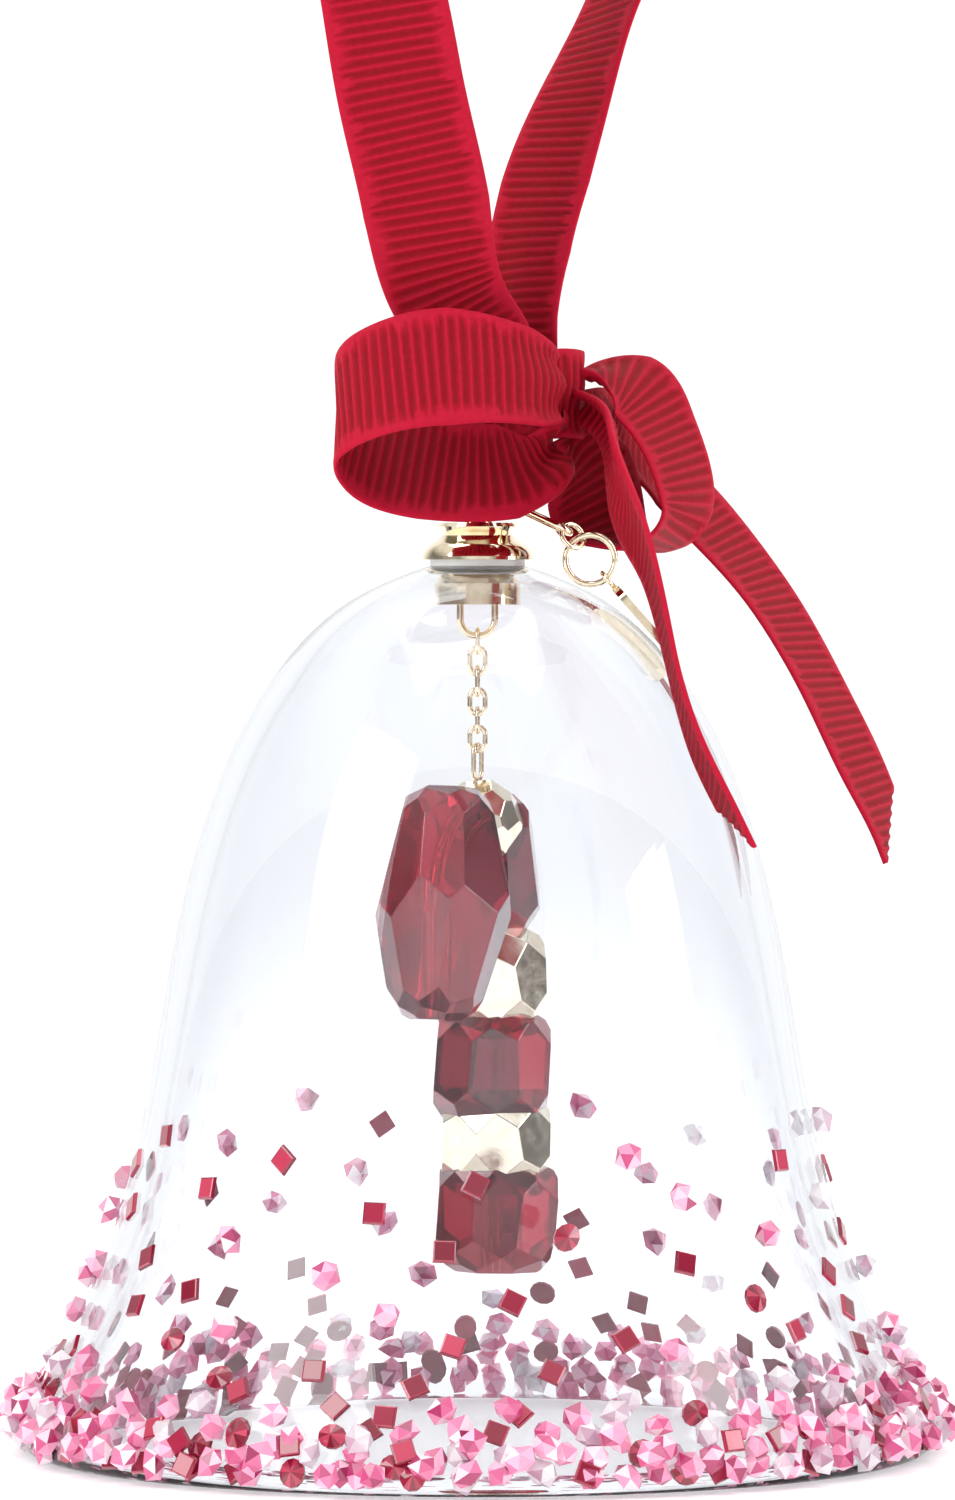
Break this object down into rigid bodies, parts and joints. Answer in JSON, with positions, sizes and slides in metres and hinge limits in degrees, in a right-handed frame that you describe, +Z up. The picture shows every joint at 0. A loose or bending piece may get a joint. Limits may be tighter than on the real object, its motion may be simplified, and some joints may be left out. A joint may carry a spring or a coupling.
{
  "type": "bell ornament",
  "caption": "Clear glass bell ornament on a tied ribbon with a bow, a faceted candy-cane clapper on a fine chain, and cut stones round its rim.",
  "frame": {"origin": "centre of the bell's mouth, in the plane of its rim", "axes": "+Z up through the cap to the hanging loop; -Y is the front, with the cane's hook and the bow's large loop"},
  "size_m": [0.074, 0.0741, 0.1348],
  "materials": {
    "ribbon": "crimson grosgrain ribbon",
    "clear_glass": "clear blown glass",
    "pale_gold": "polished pale gold plate",
    "gold_bead": "faceted, pale gold coat",
    "ruby_crystal": "faceted ruby-red crystal",
    "red_stone": "cut red crystal",
    "pink_stone": "cut pale pink crystal",
    "clear_stone": "cut clear crystal",
    "gasket": "translucent silicone"
  },
  "bodies": {
    "ribbon": {"hanging_ribbon": "ribbon", "bow_knot": "ribbon", "ribbon_saddle": "ribbon", "bow_left_loop": "ribbon", "bow_right_loop": "ribbon", "bow_front_tail": "ribbon", "bow_side_tail": "ribbon"},
    "bell": {"glass_bell": "clear_glass", "outer_gasket": "gasket", "inner_gasket": "gasket", "dome_cap": "pale_gold", "cap_stud": "pale_gold", "inner_nut": "pale_gold", "clapper_shackle": "pale_gold", "hang_ring": "pale_gold", "rim_clear_stones": "clear_stone", "rim_pink_stones": "pink_stone", "rim_round_stones": "red_stone", "rim_square_stones": "red_stone", "scattered_clear_stones": "clear_stone", "scattered_pink_stones": "pink_stone", "scattered_round_stones": "red_stone", "scattered_square_stones": "red_stone"},
    "link_1": {"chain_link_1": "pale_gold"},
    "link_2": {"chain_link_2": "pale_gold"},
    "link_3": {"chain_link_3": "pale_gold"},
    "link_4": {"chain_link_4": "pale_gold"},
    "link_5": {"chain_link_5": "pale_gold"},
    "link_6": {"chain_link_6": "pale_gold"},
    "cane": {"cane_back_stone": "ruby_crystal", "cane_core": "pale_gold", "cane_eye": "pale_gold", "cane_foot_stone": "ruby_crystal", "cane_hook_stone": "ruby_crystal", "cane_lower_bead": "gold_bead", "cane_middle_stone": "ruby_crystal", "cane_top_bead": "gold_bead", "cane_upper_bead": "gold_bead"},
    "tag_link": {"tag_link": "pale_gold"},
    "tag_rings": {"tag_small_ring": "pale_gold", "tag_jump_ring": "pale_gold"},
    "tag": {"name_tag": "pale_gold"}
  },
  "joints": [
    {"name": "bell_swing", "type": "hinge", "parent": "ribbon", "child": "bell", "pos_m": [0, 0, 0.0762], "axis": [0, 1, 0], "range_deg": [-1.5, 4]},
    {"name": "link_1_swing", "type": "hinge", "parent": "bell", "child": "link_1", "pos_m": [0, 0, 0.06358], "axis": [1, 0, 0], "range_deg": [-4.5, 4.5]},
    {"name": "link_2_swing", "type": "hinge", "parent": "link_1", "child": "link_2", "pos_m": [0, 0, 0.06221], "axis": [0, 1, 0], "range_deg": [-4.5, 4.5]},
    {"name": "link_3_swing", "type": "hinge", "parent": "link_2", "child": "link_3", "pos_m": [0, 0, 0.06076], "axis": [1, 0, 0], "range_deg": [-4.5, 4.5]},
    {"name": "link_4_swing", "type": "hinge", "parent": "link_3", "child": "link_4", "pos_m": [0, 0, 0.05931], "axis": [0, 1, 0], "range_deg": [-4.5, 4.5]},
    {"name": "link_5_swing", "type": "hinge", "parent": "link_4", "child": "link_5", "pos_m": [0, 0, 0.05786], "axis": [1, 0, 0], "range_deg": [-4.5, 4.5]},
    {"name": "link_6_swing", "type": "hinge", "parent": "link_5", "child": "link_6", "pos_m": [0, 0, 0.05641], "axis": [0, 1, 0], "range_deg": [-4.5, 4.5]},
    {"name": "cane_swing", "type": "hinge", "parent": "link_6", "child": "cane", "pos_m": [0, 0, 0.05496], "axis": [1, 0, 0], "range_deg": [-4.5, 4.5]},
    {"name": "tag_link_swing", "type": "hinge", "parent": "bell", "child": "tag_link", "pos_m": [0.0018, 0, 0.07494], "axis": [0.5736, 0, 0.8192], "range_deg": [-8, 0]},
    {"name": "tag_rings_swing", "type": "hinge", "parent": "tag_link", "child": "tag_rings", "pos_m": [0.00747, -0.00264, 0.07205], "axis": [0.5528, -0.7228, 0.4146], "range_deg": [0, 8]},
    {"name": "tag_lift", "type": "hinge", "parent": "tag_rings", "child": "tag", "pos_m": [0.00887, -0.00264, 0.07018], "axis": [0, -1, 0], "range_deg": [0, 18]}
  ]
}
